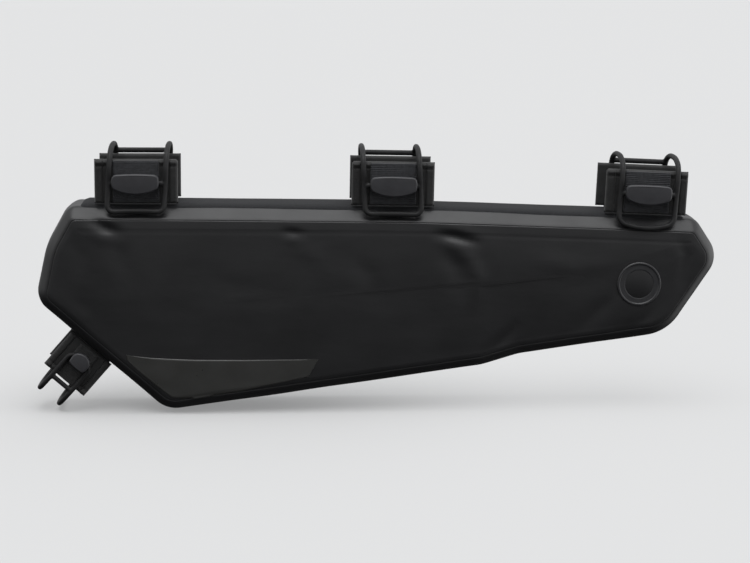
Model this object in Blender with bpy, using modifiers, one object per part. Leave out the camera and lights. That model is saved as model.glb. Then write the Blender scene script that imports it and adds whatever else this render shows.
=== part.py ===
"""Bicycle frame bag, a long tapered pouch that hangs inside a frame under the top tube.

Metres, +Z up, +X to the rear of the bicycle, +Y to the side that the view does not show.
The origin is the middle of the middle strap seat, on top of the matte top strip.
The bag has two face panels lapped over a gusset that runs all the way round,
a matte strip on top, and four strap units: three for the top tube, one for the down tube.
"""
import math

import bmesh
import bpy
from mathutils import Matrix, Vector
from mathutils.bvhtree import BVHTree

# Driving dimensions
BAG_LENGTH = 0.450
BAG_HEIGHT = 0.140
WALL = 0.0012
GAP = 0.0003
PANEL_Y = 0.0281
PILLOW = 0.0018
STRIP_WIDTH = 0.042
STRIP_THICKNESS = 0.0012
STRIP_FLAT_WIDTH = 0.0332
STRIP_EDGE_DROP = 0.00015
STRIP_END_MARGIN = 0.008
SMALLEST_FILLET = 0.004
LAP_WIDTH = 0.0055
PANEL_EDGE_TOP = 0.0110
PANEL_EDGE_SIDE = 0.0080

FRONT_SEAT_SHARE = -0.3715
REAR_SEAT_SHARE = 0.3700
LOWER_SEAT_SHARE = 0.432

# The outline seen from the side, clockwise from the front top corner.
# Columns: x share of BAG_LENGTH, z share of BAG_HEIGHT, fillet radius, fillet steps, run steps
OUTLINE = (
    (-0.4700, 0.0200, 0.008, 4, 2),
    (-0.3200, 0.0165, 0.0, 0, 4),
    (-0.0490, 0.0032, 0.0, 0, 1),
    (0.0490, -0.0032, 0.0, 0, 4),
    (0.3220, -0.0380, 0.0, 0, 2),
    (0.4455, -0.0570, 0.009, 4, 1),
    (0.4838, -0.2475, 0.018, 5, 1),
    (0.4080, -0.6145, 0.030, 5, 3),
    (0.1870, -0.7145, 0.030, 2, 0),
    (0.1330, -0.7665, 0.030, 2, 6),
    (-0.3329, -0.9728, 0.020, 5, 3),
    (-0.5227, -0.4325, 0.016, 5, 0),
    (-0.5040, -0.1715, 0.050, 3, 0),
)
TOP_EDGES = 5

# Cross-section of the gusset, from mid-width to its edge under a face panel.
# Columns: distance from the mid-plane, inset from the outline at the top, inset elsewhere
SECTION = (
    (0.0100, 0.0015, 0.0000),
    (0.0172, 0.0015, 0.0009),
    (0.0214, 0.0020, 0.0026),
    (0.0243, 0.0052, 0.0050),
    (0.0260, 0.0092, 0.0073),
    (0.0268, 0.0128, 0.0096),
)

# The face panels close on this spine, by the given shares of the way out from it
SPINE_FRONT = Vector((-0.289 * BAG_LENGTH, -0.443 * BAG_HEIGHT))
SPINE_REAR = Vector((0.267 * BAG_LENGTH, -0.329 * BAG_HEIGHT))
PANEL_SHARES = (0.78, 0.50, 0.22)

# Abrasion patch, whose lower edge follows the seam of the near panel.
# Columns: lower edge x, upper edge x and z, as shares of BAG_LENGTH and BAG_HEIGHT
PATCH = (
    (-0.386, -0.388, -0.690),
    (-0.364, -0.369, -0.696),
    (-0.340, -0.350, -0.703),
    (-0.318, -0.320, -0.709),
    (-0.284, -0.284, -0.714),
    (-0.224, -0.216, -0.716),
    (-0.124, -0.150, -0.717),
)
PATCH_TIP = (-0.114, -0.738, -0.111, -0.717)
PATCH_SEAM_MARGIN = 0.0028
PATCH_THICKNESS = 0.0008
DRAPE_GAP = 0.0004

ROUNDEL_CENTRE = Vector((0.360 * BAG_LENGTH, -0.366 * BAG_HEIGHT))
ROUNDEL_RADIUS = 0.0146
ROUNDEL_THICKNESS = 0.0008
ROUNDEL_RIM = 0.0009

# Zip across the hidden face, just under the shoulder
ZIP_FRONT = Vector((-0.333 * BAG_LENGTH, -0.182 * BAG_HEIGHT))
ZIP_REAR = Vector((0.300 * BAG_LENGTH, -0.222 * BAG_HEIGHT))
ZIP_TAPE_WIDTH = 0.018
ZIP_TAPE_MARGIN = 0.010
ZIP_TAPE_THICKNESS = 0.0010
ZIP_SLOT = 0.005
ZIP_SLIDER = (0.011, 0.0034, 0.008)
ZIP_PULL = (0.022, 0.0018, 0.006)

# Sizes of a strap unit, in its own frame: x along the bag, z away from the seat
TOP_UNIT = {
    "pad": (0.0542, 0.0045, 0.0290),
    "pad_y": 0.01925,
    "webbing": (0.0300, 0.0014, 0.0270),
    "hook": (0.0305, 0.0038, 0.0132),
    "hook_z": 0.0139,
    "loop_width": 0.0366,
    "loop_radius": 0.00185,
    "loop_corner": 0.0065,
    "rungs": ((0.0139, -1.0), (0.0139, 1.0), (0.0312, 1.0)),
    "route": (
        (0.0280, -0.0045),
        (0.0264, 0.0040),
        (0.0255, 0.0139),
        (0.0253, 0.0240),
        (0.0215, 0.0324),
        (0.0115, 0.0363),
        (0.0000, 0.0371),
    ),
}
LOWER_UNIT = {
    "pad": (0.0340, 0.0040, 0.0285),
    "pad_y": 0.0160,
    "webbing": (0.0145, 0.0012, 0.0260),
    "hook": (0.0127, 0.0034, 0.0107),
    "hook_z": 0.0104,
    "loop_width": 0.0166,
    "loop_radius": 0.0014,
    "loop_corner": 0.0040,
    "rungs": ((0.0305, -1.0),),
    "route": (
        (0.02120, 0.0104),
        (0.02105, 0.0150),
        (0.02090, 0.0220),
        (0.01960, 0.0310),
        (0.01350, 0.0408),
        (0.00000, 0.0450),
    ),
}
ROUTE_STEP = 0.0068
PAD_BEVEL = 0.0008
HOOK_BEVEL = 0.0007
HOOK_POST_SHARES = (0.42, 0.24)

# Half of the hook's lozenge outline, as shares of its half width and half height
LOZENGE = (
    (0.00, 1.00),
    (0.76, 1.00),
    (0.88, 0.80),
    (1.00, 0.10),
    (0.86, -0.48),
    (0.46, -0.88),
    (0.00, -1.00),
)

# Columns: name, base colour, roughness, metallic
MATERIALS = {
    "coated_fabric": ((0.020, 0.020, 0.022, 1.0), 0.42, 0.0),
    "gloss_fabric": ((0.032, 0.032, 0.031, 1.0), 0.30, 0.0),
    "matte_strip": ((0.045, 0.046, 0.049, 1.0), 0.75, 0.0),
    "woven_webbing": ((0.034, 0.035, 0.039, 1.0), 0.70, 0.0),
    "folded_pad": ((0.018, 0.018, 0.018, 1.0), 0.65, 0.0),
    "moulded_hook": ((0.032, 0.031, 0.035, 1.0), 0.40, 0.0),
    "rubber": ((0.022, 0.022, 0.023, 1.0), 0.55, 0.0),
}


def clear_scene():
    """Remove the objects of the open scene."""
    for item in list(bpy.data.objects):
        bpy.data.objects.remove(item, do_unlink=True)


def new_collection(name):
    """Make a collection in the scene."""
    collection = bpy.data.collections.new(name)
    bpy.context.scene.collection.children.link(collection)
    return collection


def new_material(name):
    """Make a Principled material from the table."""
    colour, roughness, metallic = MATERIALS[name]
    material = bpy.data.materials.new(name)
    material.use_nodes = True
    shader = material.node_tree.nodes["Principled BSDF"]
    shader.inputs["Base Color"].default_value = colour
    shader.inputs["Roughness"].default_value = roughness
    shader.inputs["Metallic"].default_value = metallic
    material.diffuse_color = colour
    return material


def add_object(name, data, material, collection, parent=None):
    """Link a mesh or curve as an object of a collection."""
    item = bpy.data.objects.new(name, data)
    collection.objects.link(item)
    if material is not None:
        data.materials.append(material)
    item.parent = parent
    return item


def mesh_from(name, shape, smooth_angle=40.0):
    """Turn a bmesh into a mesh with smooth shading and sharp edges."""
    mesh = bpy.data.meshes.new(name)
    shape.to_mesh(mesh)
    shape.free()
    mesh.shade_smooth()
    mesh.set_sharp_from_angle(angle=math.radians(smooth_angle))
    return mesh


def solidify(item, thickness, outward=False):
    """Give an open surface its wall, inward unless told otherwise."""
    modifier = item.modifiers.new("wall", "SOLIDIFY")
    modifier.thickness = thickness
    modifier.offset = 1.0 if outward else -1.0
    modifier.use_even_offset = True


def corner_points():
    """The outline's sharp corners in metres."""
    return [Vector((row[0] * BAG_LENGTH, row[1] * BAG_HEIGHT)) for row in OUTLINE]


def inset_corners(inset_top, inset_side):
    """Sharp corners of the outline with each edge moved inward."""
    corners = corner_points()
    count = len(corners)
    lines = []
    for index in range(count):
        start = corners[index]
        along = (corners[(index + 1) % count] - start).normalized()
        inward = Vector((along.y, -along.x))
        inset = inset_top if index < TOP_EDGES else inset_side
        lines.append((start + inward * inset, along))
    moved = []
    for index in range(count):
        point_a, along_a = lines[index - 1]
        point_b, along_b = lines[index]
        cross = along_a.x * along_b.y - along_a.y * along_b.x
        between = point_b - point_a
        reach = (between.x * along_b.y - between.y * along_b.x) / cross
        moved.append(point_a + along_a * reach)
    return moved


def fillet(corner, before, after, radius, steps):
    """Points of a rounded corner, from one tangent point to the other."""
    if steps == 0:
        return [corner.copy()]
    back = (before - corner).normalized()
    ahead = (after - corner).normalized()
    half_angle = back.angle(ahead) / 2
    reach = radius / math.tan(half_angle)
    start = corner + back * reach
    end = corner + ahead * reach
    centre = corner + (back + ahead).normalized() * radius / math.sin(half_angle)
    points = []
    for step in range(steps + 1):
        share = step / steps
        spoke = start.lerp(end, share) - centre
        points.append(centre + spoke.normalized() * radius)
    return points


def outline(inset_top=0.0, inset_side=0.0):
    """Closed outline with the same number of points at any inset."""
    corners = inset_corners(inset_top, inset_side)
    count = len(corners)
    rounded = []
    for index, row in enumerate(OUTLINE):
        radius = max(row[2] - inset_side, SMALLEST_FILLET)
        before = corners[index - 1]
        after = corners[(index + 1) % count]
        rounded.append(fillet(corners[index], before, after, radius, row[3]))
    points = []
    for index, row in enumerate(OUTLINE):
        points.extend(rounded[index])
        start = rounded[index][-1]
        end = rounded[(index + 1) % count][0]
        for step in range(1, row[4] + 1):
            points.append(start.lerp(end, step / (row[4] + 1)))
    return points


def top_line(x):
    """Height of the top strip's surface, and its slope, at a place along the bag."""
    corners = corner_points()[:TOP_EDGES + 1]
    for start, end in zip(corners, corners[1:]):
        if x <= end.x:
            break
    slope = (end.y - start.y) / (end.x - start.x)
    return start.y + slope * (x - start.x), slope


def add_rings(shape, rings, close_last):
    """Skin a list of rings, each a y and its outline points."""
    loops = []
    for y, points in rings:
        loops.append([shape.verts.new((p.x, y, p.y)) for p in points])
    count = len(loops[0])
    for ring_a, ring_b in zip(loops, loops[1:]):
        for index in range(count):
            after = (index + 1) % count
            shape.faces.new((ring_a[index], ring_a[after], ring_b[after], ring_b[index]))
    if close_last:
        shape.faces.new(loops[-1])
    return loops


def panel_rings(side):
    """Rings of a face panel from its seam to the middle, side is -1 near and 1 far."""
    edge = outline(PANEL_EDGE_TOP, PANEL_EDGE_SIDE)
    lap = outline(PANEL_EDGE_TOP + LAP_WIDTH, PANEL_EDGE_SIDE + LAP_WIDTH)
    rings = [(side * PANEL_Y, edge), (side * PANEL_Y, lap)]
    for share in PANEL_SHARES:
        y = PANEL_Y + PILLOW * (1.0 - share * share)
        points = []
        for point in lap:
            along = (point.x - SPINE_FRONT.x) / (SPINE_REAR.x - SPINE_FRONT.x)
            anchor = SPINE_FRONT.lerp(SPINE_REAR, min(max(along, 0.0), 1.0))
            points.append(anchor.lerp(point, share))
        rings.append((side * y, points))
    return rings


def panel_shape(side):
    """Open outer surface of a face panel, facing out."""
    shape = bmesh.new()
    add_rings(shape, panel_rings(side), close_last=True)
    if side < 0:
        bmesh.ops.reverse_faces(shape, faces=shape.faces)
    return shape


def build_panels(collection, cutters, materials):
    """The two face panels, the hidden one with the slot of the zip."""
    near = add_object("panel_near", mesh_from("panel_near", panel_shape(-1)),
                      materials["coated_fabric"], collection)
    solidify(near, WALL)
    far = add_object("panel_far", mesh_from("panel_far", panel_shape(1)),
                     materials["coated_fabric"], collection)
    solidify(far, WALL)

    bpy.ops.mesh.primitive_cube_add(size=1.0)
    slot = bpy.context.object
    slot.name = "zip_slot_cutter"
    middle = (ZIP_FRONT + ZIP_REAR) / 2
    run = ZIP_REAR - ZIP_FRONT
    slot.scale = (run.length, 4 * ZIP_SLOT, ZIP_SLOT)
    slot.rotation_euler.y = -math.atan2(run.y, run.x)
    slot.location = (middle.x, PANEL_Y, middle.y)
    slot.hide_render = True
    slot.display_type = "WIRE"
    for owner in list(slot.users_collection):
        owner.objects.unlink(slot)
    cutters.objects.link(slot)
    cut = far.modifiers.new("zip slot", "BOOLEAN")
    cut.operation = "DIFFERENCE"
    cut.object = slot


def build_gusset(collection, materials):
    """The gusset all the way round, with its rounded shoulders."""
    rings = []
    for y, inset_top, inset_side in reversed(SECTION):
        rings.append((-y, outline(inset_top, inset_side)))
    for y, inset_top, inset_side in SECTION:
        rings.append((y, outline(inset_top, inset_side)))
    shape = bmesh.new()
    add_rings(shape, rings, close_last=False)
    gusset = add_object("gusset", mesh_from("gusset", shape),
                        materials["coated_fabric"], collection)
    solidify(gusset, WALL)


def build_top_strip(collection, materials):
    """The matte strip on top of the gusset."""
    corners = corner_points()[:TOP_EDGES + 1]
    stations = [corners[0].x + STRIP_END_MARGIN]
    stations.extend(corner.x for corner in corners[1:-1])
    stations.append(corners[-1].x - STRIP_END_MARGIN)
    # Columns: distance from the mid-plane, drop below the flat middle
    across = (
        (-STRIP_WIDTH / 2, STRIP_EDGE_DROP),
        (-STRIP_FLAT_WIDTH / 2, 0.0),
        (STRIP_FLAT_WIDTH / 2, 0.0),
        (STRIP_WIDTH / 2, STRIP_EDGE_DROP),
    )
    shape = bmesh.new()
    rows = []
    for x in stations:
        z = top_line(x)[0]
        rows.append([shape.verts.new((x, y, z - drop)) for y, drop in across])
    for row_a, row_b in zip(rows, rows[1:]):
        for index in range(len(across) - 1):
            shape.faces.new((row_a[index], row_b[index], row_b[index + 1], row_a[index + 1]))
    strip = add_object("top_strip", mesh_from("top_strip", shape),
                       materials["matte_strip"], collection)
    solidify(strip, STRIP_THICKNESS)


def drape(tree, side, x, z):
    """Distance from the mid-plane at which a panel's surface is met."""
    hit = tree.ray_cast(Vector((x, side * 0.1, z)), Vector((0.0, -side, 0.0)))
    return abs(hit[0].y)


def panel_tree(side):
    """Search tree of a panel's outer surface."""
    panel = panel_shape(side)
    tree = BVHTree.FromBMesh(panel)
    panel.free()
    return tree


def draped_sheet(name, side, columns, rows):
    """Open sheet laid on a panel, from columns of lower and upper points."""
    tree = panel_tree(side)
    shape = bmesh.new()
    grid = []
    for low, high in columns:
        line = []
        for row in range(rows):
            point = low.lerp(high, row / (rows - 1))
            y = side * (drape(tree, side, point.x, point.y) + DRAPE_GAP)
            line.append(shape.verts.new((point.x, y, point.y)))
        grid.append(line)
    for line_a, line_b in zip(grid, grid[1:]):
        for row in range(rows - 1):
            corners = (line_a[row], line_b[row], line_b[row + 1], line_a[row + 1])
            shape.faces.new(corners if side < 0 else corners[::-1])
    return mesh_from(name, shape)


def lowest_z(points, x):
    """Height of a closed outline's underside at a place along the bag."""
    heights = []
    for start, end in zip(points, points[1:] + points[:1]):
        if min(start.x, end.x) <= x <= max(start.x, end.x) and start.x != end.x:
            share = (x - start.x) / (end.x - start.x)
            heights.append(start.y + share * (end.y - start.y))
    return min(heights)


def build_patch(collection, materials):
    """The glossy abrasion patch at the lower front corner of the near face."""
    seam = outline(PANEL_EDGE_TOP, PANEL_EDGE_SIDE + PATCH_SEAM_MARGIN)
    columns = []
    for low_x, high_x, high_z in PATCH:
        low = Vector((low_x * BAG_LENGTH, lowest_z(seam, low_x * BAG_LENGTH)))
        high = Vector((high_x * BAG_LENGTH, high_z * BAG_HEIGHT))
        columns.append((low, high))
    low_x, low_z, high_x, high_z = PATCH_TIP
    low = Vector((low_x * BAG_LENGTH, low_z * BAG_HEIGHT))
    high = Vector((high_x * BAG_LENGTH, high_z * BAG_HEIGHT))
    columns.append((low, high))
    patch = add_object("abrasion_patch", draped_sheet("abrasion_patch", -1, columns, 3),
                       materials["gloss_fabric"], collection)
    solidify(patch, PATCH_THICKNESS, outward=True)


def build_roundel(collection, materials):
    """The plain round badge with its raised rim, a turned profile."""
    inner = ROUNDEL_RADIUS - 2 * ROUNDEL_RIM
    face = ROUNDEL_THICKNESS
    crest = ROUNDEL_THICKNESS + ROUNDEL_RIM / 2
    profile = ((0.0, 0.0), (ROUNDEL_RADIUS, 0.0), (ROUNDEL_RADIUS, face),
               (ROUNDEL_RADIUS - ROUNDEL_RIM / 2, crest), (inner + ROUNDEL_RIM / 2, crest),
               (inner, face), (0.0, face))
    shape = bmesh.new()
    points = [shape.verts.new((radius, 0.0, height)) for radius, height in profile]
    for start, end in zip(points, points[1:]):
        shape.edges.new((start, end))
    bmesh.ops.spin(shape, geom=shape.verts[:] + shape.edges[:], axis=(0.0, 0.0, 1.0),
                   cent=(0.0, 0.0, 0.0), angle=math.tau, steps=32)
    bmesh.ops.remove_doubles(shape, verts=shape.verts, dist=0.00001)
    bmesh.ops.recalc_face_normals(shape, faces=shape.faces)

    tree = panel_tree(-1)
    reach = ROUNDEL_RADIUS
    spots = [(0.0, 0.0), (reach, 0.0), (-reach, 0.0), (0.0, reach), (0.0, -reach)]
    depth = max(drape(tree, -1, ROUNDEL_CENTRE.x + dx, ROUNDEL_CENTRE.y + dz) for dx, dz in spots)
    roundel = add_object("roundel", mesh_from("roundel", shape),
                         materials["moulded_hook"], collection)
    roundel.location = (ROUNDEL_CENTRE.x, -depth - DRAPE_GAP, ROUNDEL_CENTRE.y)
    roundel.rotation_euler.x = math.radians(90.0)


def box_shape(size, centre, bevel):
    """Box with rounded edges as a bmesh."""
    shape = bmesh.new()
    bmesh.ops.create_cube(shape, size=1.0)
    bmesh.ops.scale(shape, vec=size, verts=shape.verts)
    bmesh.ops.translate(shape, vec=centre, verts=shape.verts)
    if bevel:
        bmesh.ops.bevel(shape, geom=shape.edges[:], offset=bevel, segments=1,
                        profile=0.5, affect="EDGES")
    return shape


def join_solids(target, others, operation="UNION"):
    """Fuse helper solids into a target mesh and remove them."""
    for other in others:
        modifier = target.modifiers.new("fuse", "BOOLEAN")
        modifier.operation = operation
        modifier.object = other
    bpy.context.view_layer.update()
    fused = bpy.data.meshes.new_from_object(target.evaluated_get(
        bpy.context.evaluated_depsgraph_get()))
    target.modifiers.clear()
    target.data = fused
    for other in others:
        bpy.data.objects.remove(other, do_unlink=True)


def build_zip(collection, materials):
    """The plain closed zip over its slot in the hidden face."""
    run = (ZIP_REAR - ZIP_FRONT).normalized()
    across = Vector((-run.y, run.x)) * ZIP_TAPE_WIDTH / 2
    start = ZIP_FRONT - run * ZIP_TAPE_MARGIN
    end = ZIP_REAR + run * ZIP_TAPE_MARGIN
    steps = 14
    columns = []
    for step in range(steps + 1):
        middle = start.lerp(end, step / steps)
        columns.append((middle - across, middle + across))
    tape = add_object("zip_closure", draped_sheet("zip_closure", 1, columns, 3),
                      materials["coated_fabric"], collection)
    solidify(tape, ZIP_TAPE_THICKNESS, outward=True)

    place = ZIP_FRONT + run * ZIP_SLIDER[0]
    surface = drape(panel_tree(1), 1, place.x, place.y) + DRAPE_GAP + ZIP_TAPE_THICKNESS / 2
    slider_y = surface + ZIP_SLIDER[1] / 2
    slider = box_shape(ZIP_SLIDER, (place.x, slider_y, place.y), PAD_BEVEL)
    pull_x = place.x - ZIP_SLIDER[0] / 2 + ZIP_PULL[0] / 2
    pull_y = surface + ZIP_SLIDER[1] - ZIP_PULL[1] / 4
    pull = box_shape(ZIP_PULL, (pull_x, pull_y, place.y), PAD_BEVEL / 2)
    helpers = [
        add_object("zip_slider", mesh_from("zip_slider", slider), None, collection),
        add_object("zip_pull", mesh_from("zip_pull", pull), None, collection),
    ]
    join_solids(tape, helpers)


def smooth_route(points, step):
    """Points read at even steps from a smooth curve through the given ones."""
    padded = [points[0] * 2 - points[1]] + list(points) + [points[-1] * 2 - points[-2]]
    dense = []
    pieces = 24
    for index in range(1, len(padded) - 2):
        before, start, end, after = padded[index - 1:index + 3]
        for piece in range(pieces):
            t = piece / pieces
            dense.append(0.5 * (2 * start + (end - before) * t
                                + (2 * before - 5 * start + 4 * end - after) * t ** 2
                                + (3 * start - before - 3 * end + after) * t ** 3))
    dense.append(points[-1].copy())
    lengths = [0.0]
    for start, end in zip(dense, dense[1:]):
        lengths.append(lengths[-1] + (end - start).length)
    count = max(2, round(lengths[-1] / step))
    result = []
    for number in range(count + 1):
        wanted = lengths[-1] * number / count
        index = min(max(i for i, length in enumerate(lengths) if length <= wanted), len(dense) - 2)
        share = (wanted - lengths[index]) / (lengths[index + 1] - lengths[index])
        result.append(dense[index].lerp(dense[index + 1], share))
    return result


def curve_tube(name, points, radius, cyclic, collection, material):
    """Tube along points, made a mesh so that it can be fused."""
    curve = bpy.data.curves.new(name, "CURVE")
    curve.dimensions = "3D"
    curve.bevel_depth = radius
    curve.bevel_resolution = 2
    curve.use_fill_caps = True
    spline = curve.splines.new("POLY")
    spline.points.add(len(points) - 1)
    for place, point in zip(spline.points, points):
        place.co = (point.x, point.y, point.z, 1.0)
    spline.use_cyclic_u = cyclic
    drawn = bpy.data.objects.new(name, curve)
    collection.objects.link(drawn)
    bpy.context.view_layer.update()
    mesh = bpy.data.meshes.new_from_object(drawn.evaluated_get(
        bpy.context.evaluated_depsgraph_get()))
    bpy.data.objects.remove(drawn, do_unlink=True)
    shape = bmesh.new()
    shape.from_mesh(mesh)
    bpy.data.meshes.remove(mesh)
    bmesh.ops.remove_doubles(shape, verts=shape.verts, dist=0.00001)
    bmesh.ops.recalc_face_normals(shape, faces=shape.faces)
    return add_object(name, mesh_from(name, shape, 60.0), material, collection)


def loop_path(unit, lean, sag):
    """Closed path of a ladder loop: two strands joined by a bar at each end."""
    half = [Vector((0.0, -y, z)) for y, z in unit["route"]]
    far = [Vector((0.0, -point.y, point.z)) for point in reversed(half[:-1])]
    route = smooth_route(half + far, ROUTE_STEP)
    top = unit["route"][-1][1]
    strand_x = unit["loop_width"] / 2
    corner = unit["loop_corner"]
    inner = route[1:-1]
    strand = [point + Vector((lean * max(point.z, 0.0) / top, 0.0, 0.0)) for point in inner]
    side = Vector((strand_x, 0.0, 0.0))

    def end_bar(end, before, hang):
        along = (end - before).normalized()
        cut = strand_x - corner
        near_corner = end - along * (corner * 0.30)
        return [
            near_corner - Vector((strand_x - corner * 0.30, 0.0, 0.0)),
            end - Vector((cut, 0.0, 0.0)) + along * hang * 0.35,
            end + along * hang,
            end + Vector((cut, 0.0, 0.0)) + along * hang * 0.35,
            near_corner + Vector((strand_x - corner * 0.30, 0.0, 0.0)),
        ]

    near_bar = end_bar(route[0], route[1], sag)
    far_bar = end_bar(route[-1], route[-2], 0.0)
    left = [point - side for point in strand]
    right = [point + side for point in strand]
    return near_bar[::-1] + left + far_bar + right[::-1]


def rung_spot(unit, height, side):
    """Distance from the mid-plane where the route passes a height."""
    route = unit["route"]
    for (y_a, z_a), (y_b, z_b) in zip(route, route[1:]):
        if z_a <= height <= z_b:
            break
    return side * (y_a + (y_b - y_a) * (height - z_a) / (z_b - z_a))


def build_loop(name, unit, lean, sag, parent, collection, materials):
    """Rubber ladder loop: one closed cord with its cross rungs fused on."""
    radius = unit["loop_radius"]
    loop = curve_tube(name, loop_path(unit, lean, sag), radius, True, collection,
                      materials["rubber"])
    top = unit["route"][-1][1]
    rungs = []
    for number, (height, side) in enumerate(unit["rungs"]):
        y = rung_spot(unit, height, side)
        shift = lean * height / top
        reach = unit["loop_width"] / 2
        ends = [Vector((shift - reach, y, height)), Vector((shift + reach, y, height))]
        rungs.append(curve_tube(f"{name}_rung_{number}", ends, radius * 0.9, False,
                                collection, None))
    join_solids(loop, rungs)
    loop.parent = parent


def hook_shape(unit, side, name, collection, material):
    """Lozenge plate on a post that stands on the webbing."""
    width, depth, height = unit["hook"]
    back = unit["hook_back"]
    outline_points = [Vector((x * width / 2, z * height / 2)) for x, z in LOZENGE]
    mirrored = [Vector((-point.x, point.y)) for point in outline_points[-2:0:-1]]
    curve = bpy.data.curves.new(name, "CURVE")
    curve.dimensions = "2D"
    curve.fill_mode = "BOTH"
    curve.extrude = depth / 2 - HOOK_BEVEL
    curve.bevel_depth = HOOK_BEVEL
    curve.bevel_resolution = 0
    curve.offset = -HOOK_BEVEL
    spline = curve.splines.new("POLY")
    rim = outline_points + mirrored
    spline.points.add(len(rim) - 1)
    for place, point in zip(spline.points, rim):
        place.co = (point.x, point.y, 0.0, 1.0)
    spline.use_cyclic_u = True
    drawn = bpy.data.objects.new(name, curve)
    collection.objects.link(drawn)
    bpy.context.view_layer.update()
    mesh = bpy.data.meshes.new_from_object(drawn.evaluated_get(
        bpy.context.evaluated_depsgraph_get()))
    bpy.data.objects.remove(drawn, do_unlink=True)
    shape = bmesh.new()
    shape.from_mesh(mesh)
    bpy.data.meshes.remove(mesh)
    bmesh.ops.remove_doubles(shape, verts=shape.verts, dist=0.00001)
    bmesh.ops.rotate(shape, cent=(0.0, 0.0, 0.0), verts=shape.verts,
                     matrix=Matrix.Rotation(math.radians(90.0), 3, "X"))
    bmesh.ops.translate(shape, verts=shape.verts,
                        vec=(0.0, side * (back + depth / 2), unit["hook_z"]))
    bmesh.ops.recalc_face_normals(shape, faces=shape.faces)
    return add_object(name, mesh_from(name, shape), material, collection)


def build_hook(name, unit, side, parent, collection, materials):
    """One hook, a lozenge plate fused with its post."""
    hook = hook_shape(unit, side, name, collection, materials["moulded_hook"])
    width, depth, height = unit["hook"]
    foot = unit["webbing_face"] + GAP
    reach = unit["hook_back"] + depth / 2 - foot
    post_size = (width * HOOK_POST_SHARES[0], reach, height * HOOK_POST_SHARES[1])
    post_z = unit["hook_z"] + unit["loop_radius"] + GAP + post_size[2] / 2
    post = box_shape(post_size, (0.0, side * (foot + reach / 2), post_z), 0.0)
    helper = add_object(f"{name}_post", mesh_from(f"{name}_post", post), None, collection)
    join_solids(hook, [helper])
    hook.parent = parent


def build_strap_unit(name, unit, seat, lean, sag, collection, materials):
    """Two upright pads with webbing and hooks, and the loop that spans them."""
    for side, place in ((-1, "near"), (1, "far")):
        pad_width, pad_depth, pad_height = unit["pad"]
        pad_z = GAP + pad_height / 2
        pad = box_shape(unit["pad"], (0.0, side * unit["pad_y"], pad_z), PAD_BEVEL)
        add_object(f"{name}_pad_{place}", mesh_from(f"{name}_pad_{place}", pad),
                   materials["folded_pad"], collection, seat)
        web_width, web_depth, web_height = unit["webbing"]
        web_y = unit["pad_y"] + pad_depth / 2 + GAP + web_depth / 2
        web_z = GAP + pad_height - PAD_BEVEL - web_height / 2
        web = box_shape(unit["webbing"], (0.0, side * web_y, web_z), PAD_BEVEL / 2)
        add_object(f"{name}_webbing_{place}", mesh_from(f"{name}_webbing_{place}", web),
                   materials["woven_webbing"], collection, seat)
        build_hook(f"{name}_hook_{place}", unit, side, seat, collection, materials)
    build_loop(f"{name}_loop", unit, lean, sag, seat, collection, materials)


def finish_unit(unit):
    """Add the distances that follow from the driving sizes."""
    pad_depth = unit["pad"][1]
    web_depth = unit["webbing"][1]
    unit["webbing_face"] = unit["pad_y"] + pad_depth / 2 + GAP + web_depth
    unit["hook_back"] = unit["webbing_face"] + 2 * GAP + 2 * unit["loop_radius"] + GAP


def add_seat(name, location, outward, collection):
    """Empty on a strap seat, its z pointing away from the bag."""
    seat = bpy.data.objects.new(name, None)
    collection.objects.link(seat)
    seat.location = location
    seat.rotation_euler.y = math.atan2(outward.x, outward.z)
    return seat


def build_straps(collection, materials):
    """The three top units and the smaller one at the down tube."""
    finish_unit(TOP_UNIT)
    finish_unit(LOWER_UNIT)
    # Columns: name, place along the bag, lean of the loop's top, sag of its near bar
    rows = (
        ("front", FRONT_SEAT_SHARE * BAG_LENGTH, 0.0020, 0.0006),
        ("middle", 0.0, -0.0020, 0.0006),
        ("rear", REAR_SEAT_SHARE * BAG_LENGTH, 0.0015, 0.0042),
    )
    for name, x, lean, sag in rows:
        z, slope = top_line(x)
        outward = Vector((-slope, 0.0, 1.0))
        seat = add_seat(f"{name}_seat", (x, 0.0, z), outward, collection)
        build_strap_unit(name, TOP_UNIT, seat, lean, sag, collection, materials)

    corners = corner_points()
    bottom, front = corners[-3], corners[-2]
    spot = front.lerp(bottom, LOWER_SEAT_SHARE)
    run = (bottom - front).normalized()
    outward = Vector((run.y, 0.0, -run.x))
    seat = add_seat("lower_seat", (spot.x, 0.0, spot.y), outward, collection)
    build_strap_unit("lower", LOWER_UNIT, seat, 0.0, 0.0, collection, materials)


def main():
    """Build the whole bag."""
    clear_scene()
    bag = new_collection("bicycle_frame_bag")
    cutters = new_collection("cutters")
    materials = {name: new_material(name) for name in MATERIALS}
    build_panels(bag, cutters, materials)
    build_gusset(bag, materials)
    build_top_strip(bag, materials)
    build_patch(bag, materials)
    build_roundel(bag, materials)
    build_zip(bag, materials)
    build_straps(bag, materials)


main()
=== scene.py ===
"""Looks of the bicycle frame bag: fine coated skin, folded strap tabs, hooks and rubber loops."""

import math

import bmesh
import bpy
import numpy as np
from mathutils import Matrix, Vector, noise
from mathutils.bvhtree import BVHTree


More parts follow.
